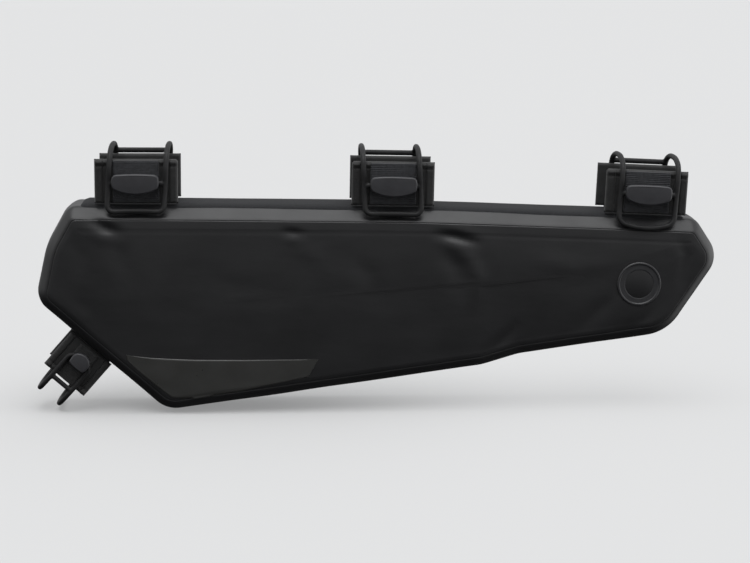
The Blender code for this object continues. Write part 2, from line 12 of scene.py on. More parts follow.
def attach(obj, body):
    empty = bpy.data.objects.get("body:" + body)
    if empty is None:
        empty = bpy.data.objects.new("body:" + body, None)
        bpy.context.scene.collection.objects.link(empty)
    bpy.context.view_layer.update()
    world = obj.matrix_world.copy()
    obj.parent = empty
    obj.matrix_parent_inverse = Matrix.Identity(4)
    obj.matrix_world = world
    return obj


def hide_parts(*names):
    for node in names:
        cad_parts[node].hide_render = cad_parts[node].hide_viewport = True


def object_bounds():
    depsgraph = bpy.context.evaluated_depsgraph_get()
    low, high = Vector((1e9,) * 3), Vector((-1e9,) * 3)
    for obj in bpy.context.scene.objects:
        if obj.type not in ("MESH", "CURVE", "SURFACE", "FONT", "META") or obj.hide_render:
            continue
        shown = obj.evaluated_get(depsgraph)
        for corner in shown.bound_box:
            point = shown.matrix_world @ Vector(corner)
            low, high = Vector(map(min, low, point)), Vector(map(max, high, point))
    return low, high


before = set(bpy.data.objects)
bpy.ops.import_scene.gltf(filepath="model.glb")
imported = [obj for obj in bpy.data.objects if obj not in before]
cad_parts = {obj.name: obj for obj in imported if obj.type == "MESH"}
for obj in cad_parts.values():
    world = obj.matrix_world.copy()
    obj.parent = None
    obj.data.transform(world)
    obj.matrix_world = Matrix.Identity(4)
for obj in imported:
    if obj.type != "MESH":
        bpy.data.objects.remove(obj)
CAD_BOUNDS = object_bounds()

# Main sizes of the bag, in metres
BAG_LENGTH = 0.450
BAG_HEIGHT = 0.140
WALL = 0.0012
SHOWN_WALL_SHARE = 0.6
SMALLEST_FILLET = 0.004
TOP_EDGES = 5

# The outline seen from the side, clockwise from the front top corner.
# Columns: x share of BAG_LENGTH, z share of BAG_HEIGHT, fillet radius, fillet steps
OUTLINE = (
    (-0.4700, 0.0200, 0.010, 10),
    (-0.3200, 0.0165, 0.0, 0),
    (-0.0490, 0.0032, 0.0, 0),
    (0.0490, -0.0032, 0.0, 0),
    (0.3220, -0.0380, 0.0, 0),
    (0.4455, -0.0570, 0.011, 10),
    (0.4838, -0.2475, 0.018, 14),
    (0.4080, -0.6145, 0.030, 14),
    (0.1870, -0.7145, 0.045, 4),
    (0.1330, -0.7665, 0.045, 4),
    (-0.3329, -0.9728, 0.020, 14),
    (-0.5227, -0.4325, 0.016, 14),
    (-0.5040, -0.1715, 0.050, 6),
)
RUN_STEP = 0.0034

# Cross-section of the gusset, from mid-width to the welded seam.
# Columns: distance from the mid-plane, inset from the outline at the top, inset elsewhere
SECTION = (
    (0.0000, 0.0014, 0.0000),
    (0.0100, 0.0014, 0.0001),
    (0.0170, 0.0014, 0.0007),
    (0.0203, 0.0020, 0.0014),
    (0.0227, 0.0040, 0.0026),
    (0.0249, 0.0063, 0.0042),
    (0.0268, 0.0084, 0.0060),
    (0.0276, 0.0098, 0.0078),
)
SECTION_STEPS = 30
FACE_Y = 0.0284
PILLOW = 0.0014

# Welded band along the seam: its width, and the step up to it, at the top and elsewhere
BAND_TOP = 0.0056
BAND_SIDE = 0.0040
SEAM_STEP_TOP = 0.00010
SEAM_STEP_SIDE = 0.00006
SEAM_STEP_REAR = 0.00040
REAR_SEAM_X = 0.176
REAR_SEAM_RUN = 0.012
TOP_SEAM_DEPTH = 0.024
TOP_SEAM_RUN = 0.008
SPINE_FRONT = Vector((-0.289 * BAG_LENGTH, -0.443 * BAG_HEIGHT))
SPINE_REAR = Vector((0.267 * BAG_LENGTH, -0.329 * BAG_HEIGHT))
FACE_STEPS = 30

# Folds of the near face: height (negative for a valley), half width, then the line's x and z
NEAR_FOLDS = (
    (-0.00190, 0.0030, ((0.0300, -0.0176), (0.0400, -0.0190), (0.0540, -0.0232))),
    (0.00085, 0.0042, ((0.0400, -0.0262), (0.0500, -0.0340), (0.0560, -0.0460), (0.0530, -0.0640))),
    (-0.00080, 0.0050, ((0.0330, -0.0290), (0.0420, -0.0400), (0.0450, -0.0560))),
    (-0.00200, 0.0034, ((-0.1960, -0.0060), (-0.1880, -0.0120), (-0.1790, -0.0150))),
    (-0.00055, 0.0060, ((-0.1850, -0.0180), (-0.1780, -0.0300), (-0.1740, -0.0460))),
    (-0.00110, 0.0026, ((-0.0710, -0.0150), (-0.0600, -0.0168))),
    (0.00040, 0.0060, ((-0.0640, -0.0240), (-0.0500, -0.0330), (-0.0430, -0.0450))),
    (-0.00045, 0.0060, ((-0.0300, -0.0300), (-0.0160, -0.0440), (-0.0100, -0.0620))),
    (-0.00050, 0.0050, ((0.1180, -0.0860), (0.1340, -0.0700), (0.1500, -0.0560))),
    (-0.00060, 0.0040, ((0.1500, -0.0840), (0.1620, -0.0780), (0.1760, -0.0640))),
    (-0.00045, 0.0050, ((-0.2080, -0.0180), (-0.2040, -0.0300), (-0.2060, -0.0420))),
    (0.00045, 0.0050, ((-0.2180, -0.0580), (-0.2080, -0.0680), (-0.1980, -0.0760))),
    (-0.00070, 0.0036, ((0.0620, -0.0990), (0.0700, -0.0900), (0.0800, -0.0790))),
    (-0.00070, 0.0034, ((0.1880, -0.0200), (0.1930, -0.0330), (0.1900, -0.0500))),
    (0.00040, 0.0060, ((0.0900, -0.0330), (0.1200, -0.0400), (0.1450, -0.0360))),
    (-0.00035, 0.0080, ((-0.1300, -0.0400), (-0.1000, -0.0520), (-0.0700, -0.0560))),
)

# Strap units. Columns: name, place along the bag, lean of the loop's top, sag of its near bar
TOP_UNITS = (
    ("front", -0.3715 * BAG_LENGTH, 0.0020, -0.0007),
    ("middle", 0.0, -0.0020, -0.0004),
    ("rear", 0.3700 * BAG_LENGTH, 0.0015, 0.0036),
)
LOWER_SEAT_SHARE = 0.432
GAP = 0.0003
TOP_UNIT = {
    "pad": (0.0542, 0.0045, 0.0290),
    "pad_y": 0.01925,
    "hem": 0.0056,
    "weave": "webbing",
    "webbing": (0.0300, 0.0014, 0.0270),
    "hook": (0.0305, 0.0038, 0.0132),
    "hook_z": 0.0139,
    "loop_width": 0.0366,
    "loop_radius": 0.00185,
    "loop_corner": 0.0045,
    "rungs": ((0.0139, -1.0), (0.0139, 1.0), (0.0312, 1.0)),
    "route": (
        (0.0280, -0.0045),
        (0.0264, 0.0040),
        (0.0255, 0.0139),
        (0.0253, 0.0240),
        (0.0215, 0.0324),
        (0.0115, 0.0363),
        (0.0000, 0.0371),
    ),
}
LOWER_UNIT = {
    "pad": (0.0340, 0.0040, 0.0285),
    "pad_y": 0.0160,
    "hem": 0.0042,
    "weave": "pad",
    "webbing": (0.0145, 0.0012, 0.0260),
    "hook": (0.0127, 0.0034, 0.0107),
    "hook_z": 0.0104,
    "loop_width": 0.0166,
    "loop_radius": 0.0016,
    "loop_corner": 0.0036,
    "rungs": ((0.0305, -1.0),),
    "route": (
        (0.0214, 0.0104),
        (0.0213, 0.0160),
        (0.0211, 0.0240),
        (0.0206, 0.0330),
        (0.0172, 0.0408),
        (0.0095, 0.0446),
        (0.0000, 0.0452),
    ),
}
LOZENGE = (
    (0.00, 1.00),
    (0.45, 0.98),
    (0.84, 0.93),
    (0.93, 0.86),
    (0.98, 0.70),
    (1.00, 0.30),
    (0.99, -0.14),
    (0.96, -0.36),
    (0.86, -0.54),
    (0.64, -0.75),
    (0.36, -0.92),
    (0.00, -1.00),
)

# Abrasion patch on the near face. Columns: lower edge x and z, upper edge x and z
PATCH = (
    (-0.3885, -0.7080, -0.3900, -0.6860),
    (-0.3690, -0.7720, -0.3720, -0.6940),
    (-0.3440, -0.8420, -0.3520, -0.7010),
    (-0.3230, -0.8960, -0.3240, -0.7060),
    (-0.2900, -0.8990, -0.2880, -0.7110),
    (-0.2240, -0.8660, -0.2160, -0.7140),
    (-0.1700, -0.8310, -0.1780, -0.7140),
    (-0.1240, -0.7990, -0.1380, -0.7140),
    (-0.1110, -0.7230, -0.1090, -0.7140),
)
PATCH_LIFT = 0.00028
ROUNDEL_CENTRE = Vector((0.360 * BAG_LENGTH, -0.366 * BAG_HEIGHT))
ROUNDEL_RADIUS = 0.0146
ZIP_FRONT = Vector((-0.333 * BAG_LENGTH, -0.182 * BAG_HEIGHT))
ZIP_REAR = Vector((0.300 * BAG_LENGTH, -0.222 * BAG_HEIGHT))
ZIP_TAPE_WIDTH = 0.018
ZIP_TAPE_MARGIN = 0.010

STRIP_WIDTH = 0.042
STRIP_END_MARGIN = 0.008

# Camera, fitted to the photograph's outline
CAMERA_TARGET = Vector((-0.0107, 0.0, -0.0531))
CAMERA_DISTANCE = 1.350
CAMERA_ELEVATION = math.radians(9.2)
CAMERA_AZIMUTH = math.radians(-2.5)
CAMERA_LENS = 96.86
FLOOR_CLEARANCE = 0.0015

# Light from all round, in soft lobes over an even base.
# Columns: direction, cosine to it where the lobe starts and where it is full, strength
LIGHT_LOBES = (
    ((0.0, -0.28, 0.96), 0.78, 0.93, 3.10),
    ((0.0, 0.70, 0.70), 0.60, 0.90, 0.18),
    ((0.0, 0.0, 1.0), -0.38, 0.12, 0.46),
    ((1.0, 0.0, 0.0), 0.50, 0.95, 1.10),
    ((-0.86, 0.0, 0.50), 0.80, 0.96, 0.55),
)
BASE_LIGHT = 0.03
LIGHT_COLOUR = (0.985, 0.992, 1.0, 1.0)

# Floor: its tone in the picture, the light that falls on it, and how much of the tone is paint; the
# rest of the tone is a painted glow, stronger towards +X, that lightens the bag's cast shadow there
FLOOR_HALF = 40.0
FLOOR_SHADOW_LIFT_FROM_X = -0.10
FLOOR_SHADOW_LIFT_TO_X = 0.12
FLOOR_TONE = 0.785
FLOOR_LIGHT = 1.50
FLOOR_PAINT_NEAR = 0.36
FLOOR_PAINT_FAR = 0.14


def corner_points():
    """The outline's sharp corners in metres."""
    return [Vector((row[0] * BAG_LENGTH, row[1] * BAG_HEIGHT)) for row in OUTLINE]


def inset_corners(inset_top, inset_side):
    """Sharp corners of the outline with each edge moved inward."""
    corners = corner_points()
    count = len(corners)
    lines = []
    for index in range(count):
        start = corners[index]
        along = (corners[(index + 1) % count] - start).normalized()
        inward = Vector((along.y, -along.x))
        inset = inset_top if index < TOP_EDGES else inset_side
        lines.append((start + inward * inset, along))
    moved = []
    for index in range(count):
        point_a, along_a = lines[index - 1]
        point_b, along_b = lines[index]
        cross = along_a.x * along_b.y - along_a.y * along_b.x
        between = point_b - point_a
        reach = (between.x * along_b.y - between.y * along_b.x) / cross
        moved.append(point_a + along_a * reach)
    return moved


def fillet(corner, before, after, radius, steps):
    """Points of a rounded corner, from one tangent point to the other."""
    if steps == 0:
        return [corner.copy()]
    back = (before - corner).normalized()
    ahead = (after - corner).normalized()
    half_angle = back.angle(ahead) / 2
    reach = radius / math.tan(half_angle)
    start = corner + back * reach
    end = corner + ahead * reach
    centre = corner + (back + ahead).normalized() * radius / math.sin(half_angle)
    points = []
    for step in range(steps + 1):
        spoke = start.lerp(end, step / steps) - centre
        points.append(centre + spoke.normalized() * radius)
    return points


def run_counts():
    """How many points each straight run of the outline takes."""
    corners = corner_points()
    counts = []
    for index, corner in enumerate(corners):
        length = (corners[(index + 1) % len(corners)] - corner).length
        counts.append(max(1, round(length / RUN_STEP)))
    return counts


def outline(inset_top=0.0, inset_side=0.0):
    """Closed outline with the same number of points at any inset."""
    corners = inset_corners(inset_top, inset_side)
    count = len(corners)
    rounded = []
    for index, row in enumerate(OUTLINE):
        radius = max(row[2] - inset_side, SMALLEST_FILLET)
        rounded.append(fillet(corners[index], corners[index - 1],
                              corners[(index + 1) % count], radius, row[3]))
    points = []
    for index, steps in enumerate(run_counts()):
        points.extend(rounded[index])
        start = rounded[index][-1]
        end = rounded[(index + 1) % count][0]
        for step in range(1, steps + 1):
            points.append(start.lerp(end, step / (steps + 1)))
    return points


def top_line(x):
    """Height of the top strip's surface, and its slope, at a place along the bag."""
    corners = corner_points()[:TOP_EDGES + 1]
    for start, end in zip(corners, corners[1:]):
        if x <= end.x:
            break
    slope = (end.y - start.y) / (end.x - start.x)
    return start.y + slope * (x - start.x), slope


def smooth_rows(rows, steps):
    """Rows read at even steps from a smooth curve through a table of rows."""
    table = np.array(rows)
    padded = np.vstack((2 * table[0] - table[1], table, 2 * table[-1] - table[-2]))
    lengths = np.concatenate(([0.0], np.cumsum(np.linalg.norm(np.diff(table, axis=0), axis=1))))
    result = []
    for step in range(steps + 1):
        wanted = lengths[-1] * step / steps
        index = min(int(np.searchsorted(lengths, wanted, side="right")) - 1, len(table) - 2)
        t = (wanted - lengths[index]) / (lengths[index + 1] - lengths[index])
        before, start, end, after = padded[index:index + 4]
        result.append(0.5 * (2 * start + (end - before) * t
                             + (2 * before - 5 * start + 4 * end - after) * t ** 2
                             + (3 * start - before - 3 * end + after) * t ** 3))
    return np.array(result)


def mesh_object(name, verts, faces, material, angle=50.0):
    """Object from points and faces, shaded smooth with sharp edges kept."""
    mesh = bpy.data.meshes.new(name)
    mesh.from_pydata([tuple(v) for v in verts], [], faces)
    mesh.validate()
    mesh.update()
    mesh.shade_smooth()
    mesh.set_sharp_from_angle(angle=math.radians(angle))
    item = bpy.data.objects.new(name, mesh)
    bpy.context.scene.collection.objects.link(item)
    if material is not None:
        mesh.materials.append(material)
    return item


def place(item, nodes, seat=None):
    """Put a finished piece in the frame: its seat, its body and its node."""
    if seat is not None:
        item.data.transform(seat)
    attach(item, "root")
    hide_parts(*nodes)
    return item


def fold_shape(x, z, line):
    """Distance from points to a fold's line, and the fold's fade towards its ends."""
    corners = np.array(line)
    runs = np.diff(corners, axis=0)
    lengths = np.hypot(runs[:, 0], runs[:, 1])
    walked = np.concatenate(([0.0], np.cumsum(lengths)))
    nearest = np.full(len(x), 1.0)
    share = np.zeros(len(x))
    for start, run, length, before in zip(corners, runs, lengths, walked):
        along = ((x - start[0]) * run[0] + (z - start[1]) * run[1]) / length ** 2
        along = np.clip(along, 0.0, 1.0)
        away = np.hypot(x - start[0] - along * run[0], z - start[1] - along * run[1])
        closer = away < nearest
        nearest = np.where(closer, away, nearest)
        share = np.where(closer, (before + along * length) / walked[-1], share)
    return nearest, np.sin(np.pi * (0.12 + 0.76 * share)) ** 1.3


def soft_noise(points, size, seed):
    """Smooth noise at points, about -1 to 1."""
    shift = Vector((seed * 7.3, seed * 3.1, seed * 5.7))
    return np.array([noise.noise(Vector(p) / size + shift) for p in points])


def skin_relief(points, side):
    """Height of folds, dents and slight waves in the skin, positive outward."""
    x = points[:, 0]
    z = points[:, 2]
    relief = 0.00042 * soft_noise(points, 0.070, 1 + side)
    relief += 0.00016 * soft_noise(points, 0.026, 4 + side)
    lower = np.clip((-0.02 - z) / 0.08, 0.0, 1.0)
    stretched = points * np.array([0.45, 1.0, 1.5])
    relief += 0.00022 * lower * soft_noise(stretched, 0.020, 9 + side)
    facing = np.clip((np.abs(points[:, 1]) - 0.015) / 0.010, 0.0, 1.0)
    if side < 0:
        for height, width, line in NEAR_FOLDS:
            away, fade = fold_shape(x, z, line)
            core = np.exp(-(away / width) ** 2)
            skirt = np.exp(-((away - 1.9 * width) / (1.3 * width)) ** 2)
            relief += facing * height * fade * (core - 0.30 * skirt)
    return relief


def lofted(name, rings, close_last, flip, material, side):
    """Skin a list of rings, then push its points by the skin's relief."""
    count = len(rings[0])
    verts = np.array([p for ring in rings for p in ring])
    faces = []
    for ring in range(len(rings) - 1):
        for index in range(count):
            after = (index + 1) % count
            low, high = ring * count, (ring + 1) * count
            faces.append((low + index, low + after, high + after, high + index))
    if close_last:
        faces.append(tuple(range((len(rings) - 1) * count, len(rings) * count)))
    if flip:
        faces = [face[::-1] for face in faces]
    item = mesh_object(name, verts, faces, material)
    normals = np.zeros(len(verts) * 3)
    item.data.vertices.foreach_get("normal", normals)
    normals = normals.reshape(-1, 3)
    if side == 0:
        relief = np.where(verts[:, 1] < 0, skin_relief(verts, -1), skin_relief(verts, 1))
    else:
        relief = skin_relief(verts, side)
    moved = verts + normals * relief[:, None]
    item.data.vertices.foreach_set("co", moved.ravel())
    item.data.update()
    wall = item.modifiers.new("wall", "SOLIDIFY")
    wall.thickness = WALL * SHOWN_WALL_SHARE
    wall.offset = -1.0
    return item


def seam_shape(point):
    """Step of the welded seam and roundness of its band, plainer at the top and the rear."""
    rear = min(max((point.x - REAR_SEAM_X) / REAR_SEAM_RUN, 0.0), 1.0)
    depth = top_line(point.x)[0] - point.y
    top = min(max((TOP_SEAM_DEPTH - depth) / TOP_SEAM_RUN, 0.0), 1.0)
    step = SEAM_STEP_SIDE + (SEAM_STEP_TOP - SEAM_STEP_SIDE) * top
    return step + (SEAM_STEP_REAR - step) * rear, 2.0 - 0.85 * top


def face_rings(side):
    """Rings of a face panel: the welded band at the seam, then a slight pillow."""
    seam_y, top, edge = SECTION[-1]
    rings = []
    for step in range(9):
        t = step / 8
        points = outline(top + BAND_TOP * t, edge + BAND_SIDE * t)
        ring = []
        for p in points:
            rise, power = seam_shape(p)
            start = seam_y + rise
            ring.append((p.x, side * (start + (FACE_Y - start) * (1 - (1 - t) ** power)), p.y))
        rings.append(ring)
    rim = outline(top + BAND_TOP, edge + BAND_SIDE)
    for step in range(1, FACE_STEPS + 1):
        share = 1.0 - 0.96 * step / FACE_STEPS
        y = FACE_Y + PILLOW * (1.0 - share ** 2.2)
        ring = []
        for point in rim:
            along = (point.x - SPINE_FRONT.x) / (SPINE_REAR.x - SPINE_FRONT.x)
            anchor = SPINE_FRONT.lerp(SPINE_REAR, min(max(along, 0.0), 1.0))
            p = anchor.lerp(point, share)
            depth = top_line(p.x)[0] - p.y
            groove = 0.00022 * math.exp(-((depth - 0.0168) / 0.0007) ** 2)
            ring.append((p.x, side * (y - groove), p.y))
        rings.append(ring)
    return rings


def build_skin(materials):
    """The two face panels and the gusset between them."""
    skins = {}
    for side, name in ((-1, "near"), (1, "far")):
        skin = lofted(f"skin_{name}", face_rings(side), True, side < 0,
                      materials["skin"], side)
        skins[side] = place(skin, [f"panel_{name}"])
    rows = smooth_rows(SECTION, SECTION_STEPS)
    rings = []
    for y, top, edge in rows[::-1]:
        rings.append([(p.x, -y, p.y) for p in outline(top, edge)])
    for y, top, edge in rows[1:]:
        rings.append([(p.x, y, p.y) for p in outline(top, edge)])
    gusset = lofted("skin_gusset", rings, False, False, materials["skin"], 0)
    place(gusset, ["gusset"])
    return skins


def surface_tree(item):
    """Search tree of a piece's shown surface."""
    return BVHTree.FromObject(item, bpy.context.evaluated_depsgraph_get())


def drape(tree, side, x, z):
    """Distance from the mid-plane at which a skin's surface is met."""
    hit = tree.ray_cast(Vector((x, side * 0.1, z)), Vector((0.0, -side, 0.0)))
    return abs(hit[0].y) if hit[0] is not None else FACE_Y


def draped_plate(name, tree, side, columns, rows, lift, material):
    """Closed thin plate laid on a face, with a rolled edge."""
    verts, faces = [], []
    across = len(columns)
    for index, (low, high) in enumerate(columns):
        for row in range(rows):
            p = low.lerp(high, row / (rows - 1))
            border = index in (0, across - 1) or row in (0, rows - 1)
            rise = 0.0 if border else lift
            y = side * (drape(tree, side, p.x, p.y) + rise)
            verts.append((p.x, y, p.y))
    for index in range(across - 1):
        for row in range(rows - 1):
            a = index * rows + row
            face = (a, a + rows, a + rows + 1, a + 1)
            faces.append(face if side < 0 else face[::-1])
    plate = mesh_object(name, verts, faces, material)
    wall = plate.modifiers.new("wall", "SOLIDIFY")
    wall.thickness = lift
    wall.offset = -1.0
    return plate


def split_line(points, step):
    """Points at most a step apart along a list of column pairs."""
    result = []
    for (low_a, high_a), (low_b, high_b) in zip(points, points[1:]):
        count = max(1, round(max((low_b - low_a).length, (high_b - high_a).length) / step))
        for number in range(count):
            t = number / count
            result.append((low_a.lerp(low_b, t), high_a.lerp(high_b, t)))
    result.append(points[-1])
    return result


def build_patch(tree, materials):
    """The glossy abrasion patch on the near face."""
    columns = []
    for low_x, low_z, high_x, high_z in PATCH:
        low = Vector((low_x * BAG_LENGTH, low_z * BAG_HEIGHT))
        high = Vector((high_x * BAG_LENGTH, high_z * BAG_HEIGHT))
        columns.append((low, high))
    fine = split_line(columns, 0.0012)
    patch = draped_plate("patch_fine", tree, -1, fine, 34, PATCH_LIFT, materials["patch"])
    place(patch, ["abrasion_patch"])


def turned(name, profile, steps, material):
    """Solid turned about Z from a profile of radius and height."""
    shape = bmesh.new()
    points = [shape.verts.new((radius, 0.0, height)) for radius, height in profile]
    for start, end in zip(points, points[1:]):
        shape.edges.new((start, end))
    bmesh.ops.spin(shape, geom=shape.verts[:] + shape.edges[:], axis=(0.0, 0.0, 1.0),
                   cent=(0.0, 0.0, 0.0), angle=math.tau, steps=steps)
    bmesh.ops.remove_doubles(shape, verts=shape.verts, dist=0.000001)
    bmesh.ops.recalc_face_normals(shape, faces=shape.faces)
    mesh = bpy.data.meshes.new(name)
    shape.to_mesh(mesh)
    shape.free()
    mesh.shade_smooth()
    mesh.set_sharp_from_angle(angle=math.radians(45.0))
    mesh.materials.append(material)
    item = bpy.data.objects.new(name, mesh)
    bpy.context.scene.collection.objects.link(item)
    return item


def build_roundel(tree, materials):
    """Plain round badge: a raised rim, a shallow ring and a bare middle flush with the skin."""
    r = ROUNDEL_RADIUS
    ring = (
        (r * 0.640, -0.0008), (r * 0.645, 0.00024), (r * 0.665, 0.00036), (r * 0.700, 0.00034),
        (r * 0.850, 0.00030), (r * 0.872, 0.00032), (r * 0.890, 0.00066), (r * 0.915, 0.00080),
        (r * 0.955, 0.00080), (r * 0.985, 0.00062), (r, 0.00025), (r, -0.0008),
    )
    middle = ((0.0, 0.00018), (r * 0.630, 0.00018), (r * 0.650, 0.00006), (r * 0.650, -0.0008))
    centre = ROUNDEL_CENTRE
    spots = ((-0.8, 0.0), (0.8, 0.0), (0.0, -0.8), (0.0, 0.8))
    left, right, low, high = [drape(tree, -1, centre.x + dx * r, centre.y + dz * r)
                              for dx, dz in spots]
    depth = (left + right + low + high) / 4
    tilt = Matrix.Rotation(math.atan2(high - low, 1.6 * r), 4, "X")
    turn = Matrix.Rotation(-math.atan2(right - left, 1.6 * r), 4, "Z")
    seat = Matrix.Translation((centre.x, -depth, centre.y)) @ turn @ tilt
    upright = Matrix.Rotation(math.radians(90.0), 4, "X")
    parts = (("roundel_ring", ring, "badge"), ("roundel_middle", middle, "skin"))
    for name, profile, finish in parts:
        piece = turned(name, profile, 96, materials[finish])
        piece.data.transform(seat @ upright)
        place(piece, ["roundel"])


def build_strip(materials):
    """The matte strip on top, with rounded edges and ends."""
    corners = corner_points()[:TOP_EDGES + 1]
    start = corners[0].x + STRIP_END_MARGIN
    end = corners[-1].x - STRIP_END_MARGIN
    count = 150
    half = STRIP_WIDTH / 2
    upper = ((half, 0.0027), (half - 0.0004, 0.0018), (half - 0.0012, 0.0011),
             (half - 0.0030, 0.0004), (half * 0.5, 0.0))
    lower = ((half * 0.5, 0.0014), (half - 0.0030, 0.0016), (half - 0.0012, 0.0024))
    section = [(-y, drop) for y, drop in upper] + [(0.0, 0.0)]
    section += [(y, drop) for y, drop in upper[::-1]]
    section += [(y, drop) for y, drop in lower[::-1]] + [(0.0, 0.0014)]
    section += [(-y, drop) for y, drop in lower]
    verts, faces = [], []
    for step in range(count + 1):
        x = start + (end - start) * step / count
        z = top_line(x)[0]
        edge = min(x - start, end - x)
        taper = 0.0009 * max(0.0, 1.0 - edge / 0.0030) ** 2
        for y, low in section:
            wave = 0.00012 * noise.noise(Vector((x * 40, y * 30, 0.0)))
            verts.append((x, y, z - low - taper + wave))
    width = len(section)
    for step in range(count):
        for index in range(width):
            a = step * width + index
            b = step * width + (index + 1) % width
            faces.append((a, a + width, b + width, b))
    faces.append(tuple(range(width)))
    faces.append(tuple(range(count * width, (count + 1) * width))[::-1])
    strip = mesh_object("strip_fine", verts, faces, materials["strip"])
    place(strip, ["top_strip"])


def edge_height(x, z, half_x, half_z, radius, corner):
    """Rounded slab thickness share: 0 on the border, 1 a radius inside it."""
    dx = max(abs(x) - (half_x - corner), 0.0)
    dz = max(abs(z) - (half_z - corner), 0.0)
    if dx > 0 and dz > 0:
        inside = corner - math.hypot(dx, dz)
    else:
        inside = min(half_x - abs(x), half_z - abs(z))
    t = min(max(inside / radius, 0.0), 1.0)
    return math.sqrt(1.0 - (1.0 - t) ** 2)


def even_steps(half, count, edge):
    """Places from -half to half, denser near the ends."""
    inner = np.linspace(-half + edge, half - edge, count)
    fine = np.array([0.0, 0.08, 0.2, 0.38, 0.62, 0.84]) * edge
    return np.concatenate((-half + fine, inner, (half - fine)[::-1]))


def slab(name, size, centre, radius, relief, material, count=(40, 26)):
    """Slab with rounded edges in the XZ plane; relief adds height to its outer face."""
    width, depth, height = size
    xs = even_steps(width / 2, count[0], radius * 1.2)
    zs = even_steps(height / 2, count[1], radius * 1.2)
    verts, faces = [], []
    grid = {}
    for front in (1, -1):
        for i, x in enumerate(xs):
            for j, z in enumerate(zs):
                border = i in (0, len(xs) - 1) or j in (0, len(zs) - 1)
                if border and front < 0:
                    grid[front, i, j] = grid[1, i, j]
                    continue
                share = edge_height(x, z, width / 2, height / 2, radius, radius)
                y = front * depth / 2 * share
                if front > 0:
                    y += relief(x, z) * share
                grid[front, i, j] = len(verts)
                verts.append((x, y, z))
    for front in (1, -1):
        for i in range(len(xs) - 1):
            for j in range(len(zs) - 1):
                face = (grid[front, i, j], grid[front, i, j + 1],
                        grid[front, i + 1, j + 1], grid[front, i + 1, j])
                faces.append(face if front > 0 else face[::-1])
    side = centre[1]
    flip = -1.0 if side < 0 else 1.0
    placed = [(x + centre[0], flip * y + centre[1], z + centre[2]) for x, y, z in verts]
    if flip < 0:
        faces = [face[::-1] for face in faces]
    return mesh_object(name, placed, faces, material, 70.0)


def pad_relief(unit, seed):
    """Relief of a folded tab: side hems, a stitched groove, a top welt and soft waves."""
    width, depth, height = unit["pad"]
    hem = unit["hem"]

    def relief(x, z):
        away = abs(abs(x) - (width / 2 - hem))
        rise = 0.00085 if abs(x) > width / 2 - hem else 0.0
        groove = -0.0005 * math.exp(-(away / 0.0005) ** 2)
        top = height / 2 - z
        welt = 0.0006 * math.exp(-((top - 0.0022) / 0.0011) ** 2)
        dip = -0.0004 * math.exp(-((top - 0.0046) / 0.0006) ** 2)
        stitch_x = abs(abs(x) - (width / 2 - hem * 0.42))
        stitch = -0.00022 * math.exp(-(stitch_x / 0.00035) ** 2)
        stitch *= 0.5 + 0.5 * math.cos(z / 0.0022 * math.tau)
        wave = 0.00035 * noise.noise(Vector((x * 60, z * 60, seed)))
        return rise + groove + welt + dip + stitch + wave

    return relief


def web_relief(unit):
    """Fine ribs across the webbing, and its thicker woven edges."""
    width = unit["webbing"][0]

    def relief(x, z):
        rib = 0.00006 * math.cos(z / 0.0012 * math.tau)
        edge = 0.00022 * math.exp(-((abs(x) - (width / 2 - 0.0016)) / 0.0009) ** 2)
        return rib + edge

    return relief


def smooth_route(points, step):
    """Points read at even steps from a smooth curve through the given ones."""
    length = sum((b - a).length for a, b in zip(points, points[1:]))
    rows = smooth_rows([tuple(p) for p in points], max(4, round(length / step)))
    return [Vector(row) for row in rows]


def loop_path(unit, lean, sag):
    """Closed path of a ladder loop: two strands joined by a rounded bar at each end."""
    half = [Vector((0.0, -y, z)) for y, z in unit["route"]]
    far = [Vector((0.0, -point.y, point.z)) for point in reversed(half[:-1])]
    route = smooth_route(half + far, 0.0022)
    top = unit["route"][-1][1]
    strand_x = unit["loop_width"] / 2
    corner = unit["loop_corner"]
    lengths = [0.0]
    for start, end in zip(route, route[1:]):
        lengths.append(lengths[-1] + (end - start).length)
    kept = [p for p, length in zip(route, lengths)
            if corner < length < lengths[-1] - corner]
    strand = [p + Vector((lean * max(p.z, 0.0) / top, 0.0, 0.0)) for p in kept]

    def end_bar(end, inner, hang):
        along = (end - inner).normalized()
        bar = []
        for step in range(9):
            angle = math.pi / 2 * step / 8
            x = -strand_x + corner * (1 - math.cos(angle))
            bar.append(end - along * corner * (1 - math.sin(angle)) + Vector((x, 0.0, 0.0)))
        for step in range(1, 8):
            share = step / 8
            x = (2 * share - 1) * (strand_x - corner)
            bar.append(end + Vector((x, 0.0, 0.0)))
        mirrored = [Vector((-p.x, p.y, p.z)) for p in reversed(bar[:9])]
        sagged = []
        for p in bar + mirrored:
            share = 1.0 - min(abs(p.x) / strand_x, 1.0) ** 2
            sagged.append(p + along * hang * share)
        return sagged

    near_bar = end_bar(route[0], route[2], sag)
    far_bar = end_bar(route[-1], route[-3], 0.0)
    side = Vector((strand_x, 0.0, 0.0))
    left = [point - side for point in strand]
    right = [point + side for point in strand]
    return near_bar[::-1] + left + far_bar + right[::-1]


def rung_spot(unit, height, side):
    """Distance from the mid-plane where the route passes a height."""
    route = unit["route"]
    for (y_a, z_a), (y_b, z_b) in zip(route, route[1:]):
        if z_a <= height <= z_b:
            break
    return side * (y_a + (y_b - y_a) * (height - z_a) / (z_b - z_a))


def add_spline(curve, points, cyclic):
    """Add a straight-sided spline through points to a curve."""
    spline = curve.splines.new("POLY")
    spline.points.add(len(points) - 1)
    for spot, point in zip(spline.points, points):
        spot.co = (point.x, point.y, point.z, 1.0)
    spline.use_cyclic_u = cyclic


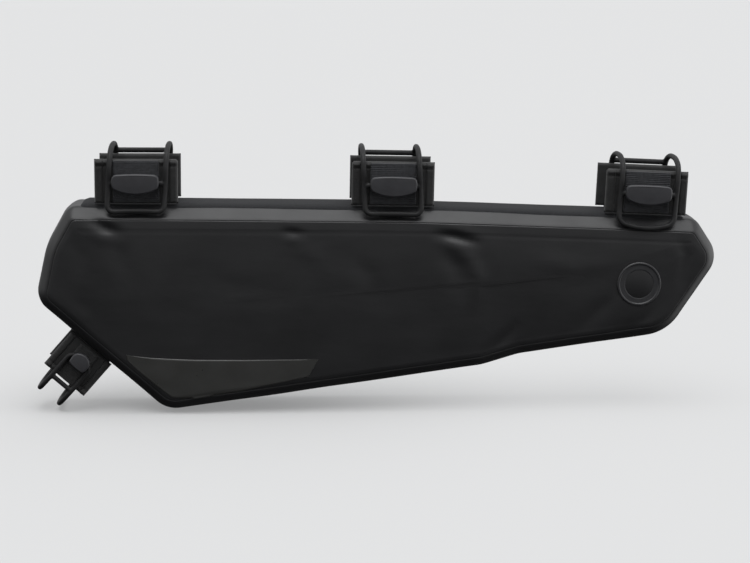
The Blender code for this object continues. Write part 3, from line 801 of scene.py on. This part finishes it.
def curve_mesh(name, curve):
    """Mesh of a curve, which is then removed."""
    drawn = bpy.data.objects.new(name, curve)
    bpy.context.scene.collection.objects.link(drawn)
    bpy.context.view_layer.update()
    graph = bpy.context.evaluated_depsgraph_get()
    mesh = bpy.data.meshes.new_from_object(drawn.evaluated_get(graph))
    bpy.data.objects.remove(drawn, do_unlink=True)
    return mesh


def build_loop(name, unit, lean, sag, seat, materials):
    """Rubber ladder loop, its rungs blended into its strands."""
    radius = unit["loop_radius"]
    curve = bpy.data.curves.new(name, "CURVE")
    curve.dimensions = "3D"
    curve.bevel_depth = radius
    curve.bevel_resolution = 6
    curve.use_fill_caps = True
    add_spline(curve, loop_path(unit, lean, sag), True)
    top = unit["route"][-1][1]
    reach = unit["loop_width"] / 2
    for height, side in unit["rungs"]:
        y = rung_spot(unit, height, side)
        shift = lean * height / top
        add_spline(curve, [Vector((shift - reach, y, height)),
                           Vector((shift + reach, y, height))], False)
    mesh = curve_mesh(name, curve)
    mesh.materials.clear()
    mesh.materials.append(materials["rubber"])
    loop = bpy.data.objects.new(name, mesh)
    bpy.context.scene.collection.objects.link(loop)
    remesh = loop.modifiers.new("blend", "REMESH")
    remesh.mode = "VOXEL"
    remesh.voxel_size = radius * 0.28
    remesh.use_smooth_shade = True
    relax = loop.modifiers.new("relax", "SMOOTH")
    relax.factor = 0.5
    relax.iterations = 4
    bpy.context.view_layer.update()
    graph = bpy.context.evaluated_depsgraph_get()
    blended = bpy.data.meshes.new_from_object(loop.evaluated_get(graph))
    loop.modifiers.clear()
    loop.data = blended
    place(loop, [name.replace("_fine", "")], seat)


def build_hook(name, unit, side, seat, materials):
    """Moulded lozenge hook with a bevelled rim, on its post."""
    width, depth, height = unit["hook"]
    bevel = depth * 0.27
    rim = [Vector((x * (width / 2 - bevel), z * (height / 2 - bevel), 0.0)) for x, z in LOZENGE]
    rim += [Vector((-p.x, p.y, 0.0)) for p in rim[-2:0:-1]]
    curve = bpy.data.curves.new(name, "CURVE")
    curve.dimensions = "2D"
    curve.fill_mode = "BOTH"
    curve.extrude = depth / 2 - bevel
    curve.bevel_depth = bevel
    curve.bevel_resolution = 4
    add_spline(curve, rim, True)
    mesh = curve_mesh(name, curve)
    shape = bmesh.new()
    shape.from_mesh(mesh)
    bmesh.ops.remove_doubles(shape, verts=shape.verts, dist=0.000005)
    bmesh.ops.triangulate(shape, faces=shape.faces)
    for vert in shape.verts:
        if vert.co.z > 0:
            share = max(0.0, 1.0 - (vert.co.x / (width / 2)) ** 2)
            vert.co.z += 0.0003 * share
    foot = unit["webbing_face"] + GAP
    back = unit["hook_back"]
    reach = back + depth / 2 - foot
    size = Vector((width * 0.42, height * 0.24, reach))
    post_y = unit["loop_radius"] + GAP + size.y / 2
    cube = bmesh.ops.create_cube(shape, size=1.0)["verts"]
    bmesh.ops.scale(shape, vec=size, verts=cube)
    bmesh.ops.translate(shape, vec=(0.0, post_y, -reach / 2), verts=cube)
    turn = Matrix.Rotation(math.radians(90.0), 4, "X")
    if side > 0:
        turn = Matrix.Rotation(math.pi, 4, "Z") @ turn
    shift = Matrix.Translation((0.0, side * (back + depth / 2), unit["hook_z"]))
    bmesh.ops.transform(shape, matrix=shift @ turn, verts=shape.verts)
    bmesh.ops.recalc_face_normals(shape, faces=shape.faces)
    shape.to_mesh(mesh)
    shape.free()
    mesh.shade_smooth()
    mesh.set_sharp_from_angle(angle=math.radians(38.0))
    mesh.materials.clear()
    mesh.materials.append(materials["hook"])
    hook = bpy.data.objects.new(name, mesh)
    bpy.context.scene.collection.objects.link(hook)
    place(hook, [name.replace("_fine", "")], seat)


def build_unit(name, unit, lean, sag, seat, materials):
    """One strap unit: two folded tabs with webbing and hooks, and a rubber loop."""
    unit["webbing_face"] = unit["pad_y"] + unit["pad"][1] / 2 + GAP + unit["webbing"][1]
    unit["hook_back"] = unit["webbing_face"] + 2 * GAP + 2 * unit["loop_radius"] + GAP
    for side, word in ((-1, "near"), (1, "far")):
        pad_size = unit["pad"]
        pad_z = GAP + pad_size[2] / 2
        seed = 3.0 * side + 11.0 * len(name)
        pad = slab(f"{name}_pad_{word}_fine", pad_size, (0.0, side * unit["pad_y"], pad_z),
                   0.0019, pad_relief(unit, seed), materials["pad"], (110, 56))
        place(pad, [f"{name}_pad_{word}"], seat)
        web_size = unit["webbing"]
        web_y = unit["pad_y"] + pad_size[1] / 2 + GAP + web_size[1] / 2
        web_z = GAP + pad_size[2] - 0.0008 - web_size[2] / 2
        web = slab(f"{name}_webbing_{word}_fine", web_size, (0.0, side * web_y, web_z),
                   0.0006, web_relief(unit), materials[unit["weave"]], (24, 200))
        place(web, [f"{name}_webbing_{word}"], seat)
        build_hook(f"{name}_hook_{word}_fine", unit, side, seat, materials)
    build_loop(f"{name}_loop_fine", unit, lean, sag, seat, materials)


def seat_matrix(x, z, outward):
    """Placement of a seat, its Z pointing away from the bag."""
    angle = math.atan2(outward.x, outward.y)
    return Matrix.Translation((x, 0.0, z)) @ Matrix.Rotation(angle, 4, "Y")


def build_units(materials):
    """The three top units and the smaller one at the down tube."""
    for name, x, lean, sag in TOP_UNITS:
        z, slope = top_line(x)
        build_unit(name, TOP_UNIT, lean, sag, seat_matrix(x, z, Vector((-slope, 1.0))), materials)
    corners = corner_points()
    bottom, front = corners[-3], corners[-2]
    spot = front.lerp(bottom, LOWER_SEAT_SHARE)
    run = (bottom - front).normalized()
    seat = seat_matrix(spot.x, spot.y, Vector((run.y, -run.x)))
    build_unit("lower", LOWER_UNIT, 0.0, 0.0, seat, materials)


def build_zip(tree, materials):
    """The closed zip on the hidden face: coated tape, a ridge of coils, slider and pull."""
    run = (ZIP_REAR - ZIP_FRONT).normalized()
    up = Vector((-run.y, run.x))
    start = ZIP_FRONT - run * ZIP_TAPE_MARGIN
    end = ZIP_REAR + run * ZIP_TAPE_MARGIN
    length = (end - start).length
    half = ZIP_TAPE_WIDTH / 2
    offsets = (-half, -half + 0.0004, -0.0040, -0.0016, -0.0012, -0.0002, 0.0,
               0.0002, 0.0012, 0.0016, 0.0040, half - 0.0004, half)
    lifts = (0.0, 0.0007, 0.0007, 0.0008, 0.0016, 0.0015, 0.0009,
             0.0015, 0.0016, 0.0008, 0.0007, 0.0007, 0.0)
    count = 320
    verts, faces = [], []
    for step in range(count + 1):
        centre = start.lerp(end, step / count)
        for offset, lift in zip(offsets, lifts):
            p = centre + up * offset
            tooth = 0.00018 * math.cos(step * math.pi) if abs(offset) < 0.0014 else 0.0
            verts.append((p.x, drape(tree, 1, p.x, p.y) + lift + tooth, p.y))
    width = len(offsets)
    for step in range(count):
        for index in range(width - 1):
            a = step * width + index
            faces.append((a, a + 1, a + width + 1, a + width))
    tape = mesh_object("zip_tape_fine", verts, faces, materials["zip"])
    wall = tape.modifiers.new("wall", "SOLIDIFY")
    wall.thickness = 0.0006
    wall.offset = -1.0
    place(tape, ["zip_closure"])

    spot = ZIP_FRONT + run * (length * 0.035)
    y = drape(tree, 1, spot.x, spot.y) + 0.0012
    angle = -math.atan2(run.y, run.x)
    seat = Matrix.Translation((spot.x, y, spot.y)) @ Matrix.Rotation(angle, 4, "Y")
    slider = slab("zip_slider_fine", (0.0110, 0.0026, 0.0078), (0.0, 0.0013, 0.0), 0.0012,
                  lambda x, z: 0.0007 * math.exp(-(z / 0.0015) ** 2), materials["hook"], (18, 14))
    pull = slab("zip_pull_fine", (0.0210, 0.0016, 0.0058), (0.0070, 0.0036, 0.0), 0.0008,
                lambda x, z: -0.0003 * math.exp(-((x - 0.002) / 0.006) ** 2), materials["hook"],
                (30, 14))
    for piece in (slider, pull):
        piece.data.transform(seat)
        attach(piece, "root")


class Nodes:
    """Small helper that builds a material's node tree."""

    def __init__(self, name):
        self.material = bpy.data.materials.new(name)
        self.material.use_nodes = True
        self.tree = self.material.node_tree
        self.shader = self.tree.nodes["Principled BSDF"]
        self.coords = self.tree.nodes.new("ShaderNodeTexCoord").outputs["Object"]

    def noise(self, scale, detail=4.0, rough=0.55, stretch=(1.0, 1.0, 1.0)):
        """Noise texture at a scale per metre, stretched along the axes."""
        mapping = self.tree.nodes.new("ShaderNodeMapping")
        mapping.inputs["Scale"].default_value = stretch
        self.tree.links.new(self.coords, mapping.inputs["Vector"])
        node = self.tree.nodes.new("ShaderNodeTexNoise")
        node.inputs["Scale"].default_value = scale
        node.inputs["Detail"].default_value = detail
        node.inputs["Roughness"].default_value = rough
        self.tree.links.new(mapping.outputs["Vector"], node.inputs["Vector"])
        return node.outputs["Fac"]

    def voronoi(self, scale):
        """Distance to the nearest cell centre, for pebbled grain."""
        node = self.tree.nodes.new("ShaderNodeTexVoronoi")
        node.inputs["Scale"].default_value = scale
        self.tree.links.new(self.coords, node.inputs["Vector"])
        return node.outputs["Distance"]

    def wave(self, scale, direction, profile="SIN", distortion=0.0):
        """Bands across an axis, as of a weave."""
        node = self.tree.nodes.new("ShaderNodeTexWave")
        node.bands_direction = direction
        node.wave_profile = profile
        node.inputs["Scale"].default_value = scale
        node.inputs["Distortion"].default_value = distortion
        self.tree.links.new(self.coords, node.inputs["Vector"])
        return node.outputs["Fac"]

    def spread(self, value, low, high, from_low=0.3, from_high=0.7):
        """Map a value's range onto another."""
        node = self.tree.nodes.new("ShaderNodeMapRange")
        node.inputs["From Min"].default_value = from_low
        node.inputs["From Max"].default_value = from_high
        node.inputs["To Min"].default_value = low
        node.inputs["To Max"].default_value = high
        self.tree.links.new(value, node.inputs["Value"])
        return node.outputs["Result"]

    def colour(self, factor, dark, light):
        """Blend two colours by a factor into the base colour."""
        node = self.tree.nodes.new("ShaderNodeMix")
        node.data_type = "RGBA"
        node.inputs["A"].default_value = (*dark, 1.0)
        node.inputs["B"].default_value = (*light, 1.0)
        self.tree.links.new(factor, node.inputs["Factor"])
        self.tree.links.new(node.outputs["Result"], self.shader.inputs["Base Color"])

    def bump(self, layers):
        """Stack bumps. Each layer is a height, a strength and a distance in metres."""
        previous = None
        for height, strength, distance in layers:
            node = self.tree.nodes.new("ShaderNodeBump")
            node.inputs["Strength"].default_value = strength
            node.inputs["Distance"].default_value = distance
            self.tree.links.new(height, node.inputs["Height"])
            if previous is not None:
                self.tree.links.new(previous, node.inputs["Normal"])
            previous = node.outputs["Normal"]
        self.tree.links.new(previous, self.shader.inputs["Normal"])

    def finish(self, roughness, specular):
        """Set roughness, a value or a link, and specular level."""
        if isinstance(roughness, float):
            self.shader.inputs["Roughness"].default_value = roughness
        else:
            self.tree.links.new(roughness, self.shader.inputs["Roughness"])
        self.shader.inputs["Specular IOR Level"].default_value = specular
        return self.material


def make_materials():
    """Every material of the bag, all from procedural nodes."""
    made = {}

    skin = Nodes("coated_skin")
    cloud = skin.noise(22.0, 3.0)
    skin.colour(skin.spread(cloud, 0.0, 1.0), (0.0100, 0.0100, 0.0108), (0.0140, 0.0140, 0.0150))
    skin.bump([
        (skin.noise(2600.0, 2.0), 0.25, 0.00004),
        (skin.noise(420.0, 3.0), 0.35, 0.00006),
        (skin.noise(70.0, 3.0, 0.5, (0.6, 1.0, 1.4)), 0.5, 0.00035),
    ])
    made["skin"] = skin.finish(skin.spread(skin.noise(35.0, 5.0), 0.36, 0.46), 0.42)

    patch = Nodes("gloss_patch")
    patch.colour(patch.spread(patch.noise(60.0, 4.0), 0.0, 1.0), (0.026, 0.026, 0.0245),
                 (0.034, 0.034, 0.0325))
    patch.bump([
        (patch.noise(1800.0, 2.0), 0.3, 0.00004),
        (patch.noise(90.0, 3.0), 0.4, 0.00025),
    ])
    made["patch"] = patch.finish(patch.spread(patch.noise(45.0, 5.0), 0.26, 0.38), 0.55)

    strip = Nodes("matte_strip_fine")
    strip.colour(strip.spread(strip.noise(900.0, 3.0), 0.0, 1.0), (0.010, 0.0103, 0.0115),
                 (0.018, 0.0185, 0.0205))
    strip.bump([
        (strip.voronoi(1300.0), 0.5, 0.00010),
        (strip.noise(120.0, 3.0), 0.4, 0.00020),
    ])
    made["strip"] = strip.finish(0.80, 0.22)

    pad = Nodes("folded_cloth")
    pad.colour(pad.spread(pad.noise(260.0, 5.0), 0.0, 1.0), (0.010, 0.010, 0.010),
               (0.019, 0.019, 0.019))
    pad.bump([
        (pad.wave(430.0, "DIAGONAL", distortion=0.4), 0.35, 0.00006),
        (pad.noise(700.0, 3.0), 0.4, 0.00008),
        (pad.noise(110.0, 3.0), 0.5, 0.00030),
    ])
    pad.shader.inputs["Sheen Weight"].default_value = 0.15
    made["pad"] = pad.finish(0.70, 0.35)

    web = Nodes("webbing_weave")
    web.colour(web.spread(web.noise(420.0, 5.0), 0.0, 1.0), (0.017, 0.0175, 0.020),
               (0.030, 0.031, 0.035))
    web.bump([
        (web.wave(360.0, "X", distortion=0.6), 0.5, 0.00012),
        (web.wave(210.0, "Z", distortion=0.3), 0.5, 0.00018),
        (web.noise(1500.0, 2.0), 0.3, 0.00006),
    ])
    web.shader.inputs["Sheen Weight"].default_value = 0.2
    made["webbing"] = web.finish(0.72, 0.35)

    hook = Nodes("moulded_plastic")
    hook.colour(hook.spread(hook.noise(150.0, 4.0), 0.0, 1.0), (0.025, 0.025, 0.028),
                (0.032, 0.032, 0.036))
    hook.bump([(hook.voronoi(2400.0), 0.35, 0.00005), (hook.noise(300.0, 3.0), 0.2, 0.00006)])
    made["hook"] = hook.finish(hook.spread(hook.noise(90.0, 4.0), 0.36, 0.48), 0.5)

    badge = Nodes("badge_plastic")
    badge.colour(badge.spread(badge.noise(200.0, 4.0), 0.0, 1.0), (0.016, 0.016, 0.018),
                 (0.022, 0.022, 0.024))
    badge.bump([(badge.voronoi(2000.0), 0.3, 0.00004)])
    made["badge"] = badge.finish(badge.spread(badge.noise(80.0, 4.0), 0.30, 0.42), 0.6)

    rubber = Nodes("matt_rubber")
    rubber.colour(rubber.spread(rubber.noise(180.0, 4.0), 0.0, 1.0), (0.009, 0.009, 0.0095),
                  (0.015, 0.015, 0.0155))
    rubber.bump([(rubber.noise(1600.0, 3.0), 0.3, 0.00005)])
    made["rubber"] = rubber.finish(rubber.spread(rubber.noise(60.0, 3.0), 0.50, 0.62), 0.26)

    zip_cloth = Nodes("zip_coating")
    zip_cloth.colour(zip_cloth.spread(zip_cloth.noise(80.0, 4.0), 0.0, 1.0),
                     (0.012, 0.012, 0.013), (0.017, 0.017, 0.018))
    zip_cloth.bump([(zip_cloth.noise(900.0, 3.0), 0.3, 0.00005)])
    made["zip"] = zip_cloth.finish(0.5, 0.45)
    return made


def build_camera():
    """Camera at the photograph's place."""
    data = bpy.data.cameras.new("camera")
    camera = bpy.data.objects.new("camera", data)
    bpy.context.scene.collection.objects.link(camera)
    level = math.cos(CAMERA_ELEVATION)
    back = Vector((math.sin(CAMERA_AZIMUTH) * level, -math.cos(CAMERA_AZIMUTH) * level,
                   math.sin(CAMERA_ELEVATION)))
    camera.location = CAMERA_TARGET + back * CAMERA_DISTANCE
    camera.rotation_euler = (-back).to_track_quat("-Z", "Y").to_euler()
    data.lens = CAMERA_LENS
    data.sensor_width = 36.0
    data.clip_end = 200.0
    bpy.context.scene.camera = camera


def build_floor():
    """Wide pale floor that fills the view behind the bag, with a painted glow that lightens the
    bag's cast shadow, more towards +X.
    """
    floor_z = CAD_BOUNDS[0].z - FLOOR_CLEARANCE
    corners = [(-FLOOR_HALF, -FLOOR_HALF, floor_z), (FLOOR_HALF, -FLOOR_HALF, floor_z),
               (FLOOR_HALF, FLOOR_HALF, floor_z), (-FLOOR_HALF, FLOOR_HALF, floor_z)]
    floor = mesh_object("floor", corners, [(0, 1, 2, 3)], None)
    material = bpy.data.materials.new("floor_paint_and_painted_glow")
    material.use_nodes = True
    shader = material.node_tree.nodes["Principled BSDF"]
    shader.inputs["Emission Color"].default_value = LIGHT_COLOUR
    nodes, links = material.node_tree.nodes, material.node_tree.links
    place_x = nodes.new("ShaderNodeSeparateXYZ")
    links.new(nodes.new("ShaderNodeTexCoord").outputs["Object"], place_x.inputs["Vector"])
    # Paint falls and a painted glow rises towards +X, so the floor out of shadow keeps one tone
    # while the bag's cast shadow is painted lighter there.
    shade = nodes.new("ShaderNodeMapRange")
    shade.interpolation_type = "SMOOTHSTEP"
    shade.inputs["From Min"].default_value = FLOOR_SHADOW_LIFT_FROM_X
    shade.inputs["From Max"].default_value = FLOOR_SHADOW_LIFT_TO_X
    shade.inputs["To Min"].default_value = FLOOR_PAINT_NEAR
    shade.inputs["To Max"].default_value = FLOOR_PAINT_FAR
    links.new(place_x.outputs["X"], shade.inputs["Value"])
    links.new(shade.outputs["Result"], shader.inputs["Base Color"])
    # Painted light: the floor's glow, stronger towards +X, fills in the bag's cast shadow.
    painted_shadow_lift = nodes.new("ShaderNodeMapRange")
    painted_shadow_lift.inputs["From Min"].default_value = FLOOR_PAINT_NEAR
    painted_shadow_lift.inputs["From Max"].default_value = FLOOR_PAINT_FAR
    painted_shadow_lift.inputs["To Min"].default_value = FLOOR_TONE - FLOOR_PAINT_NEAR * FLOOR_LIGHT
    painted_shadow_lift.inputs["To Max"].default_value = FLOOR_TONE - FLOOR_PAINT_FAR * FLOOR_LIGHT
    links.new(shade.outputs["Result"], painted_shadow_lift.inputs["Value"])
    links.new(painted_shadow_lift.outputs["Result"], shader.inputs["Emission Strength"])
    shader.inputs["Roughness"].default_value = 0.9
    shader.inputs["Specular IOR Level"].default_value = 0.0
    floor.data.materials.append(material)
    floor.visible_diffuse = False
    floor.visible_glossy = False
    floor.visible_shadow = False


def build_light():
    """Studio light: a broad bright ceiling, softer sides and a darker front."""
    world = bpy.data.worlds.new("studio")
    bpy.context.scene.world = world
    world.use_nodes = True
    tree = world.node_tree
    shader = tree.nodes["Background"]
    coords = tree.nodes.new("ShaderNodeTexCoord").outputs["Generated"]

    def lobe(direction, low, high, strength):
        facing = tree.nodes.new("ShaderNodeVectorMath")
        facing.operation = "DOT_PRODUCT"
        facing.inputs[1].default_value = direction
        tree.links.new(coords, facing.inputs[0])
        node = tree.nodes.new("ShaderNodeMapRange")
        node.interpolation_type = "SMOOTHSTEP"
        node.inputs["From Min"].default_value = low
        node.inputs["From Max"].default_value = high
        node.inputs["To Min"].default_value = 0.0
        node.inputs["To Max"].default_value = strength
        tree.links.new(facing.outputs["Value"], node.inputs["Value"])
        return node.outputs["Result"]

    total = None
    for row in LIGHT_LOBES:
        node = tree.nodes.new("ShaderNodeMath")
        node.operation = "ADD"
        tree.links.new(lobe(*row), node.inputs[0])
        if total is None:
            node.inputs[1].default_value = BASE_LIGHT
        else:
            tree.links.new(total, node.inputs[1])
        total = node.outputs["Value"]
    tree.links.new(total, shader.inputs["Strength"])
    shader.inputs["Color"].default_value = LIGHT_COLOUR


def main():
    """Build every piece, the camera, the floor and the light."""
    materials = make_materials()
    skins = build_skin(materials)
    near_tree = surface_tree(skins[-1])
    far_tree = surface_tree(skins[1])
    build_patch(near_tree, materials)
    build_roundel(near_tree, materials)
    build_strip(materials)
    build_zip(far_tree, materials)
    build_units(materials)
    build_camera()
    build_floor()
    build_light()
    bpy.context.scene.view_settings.view_transform = "Standard"


main()
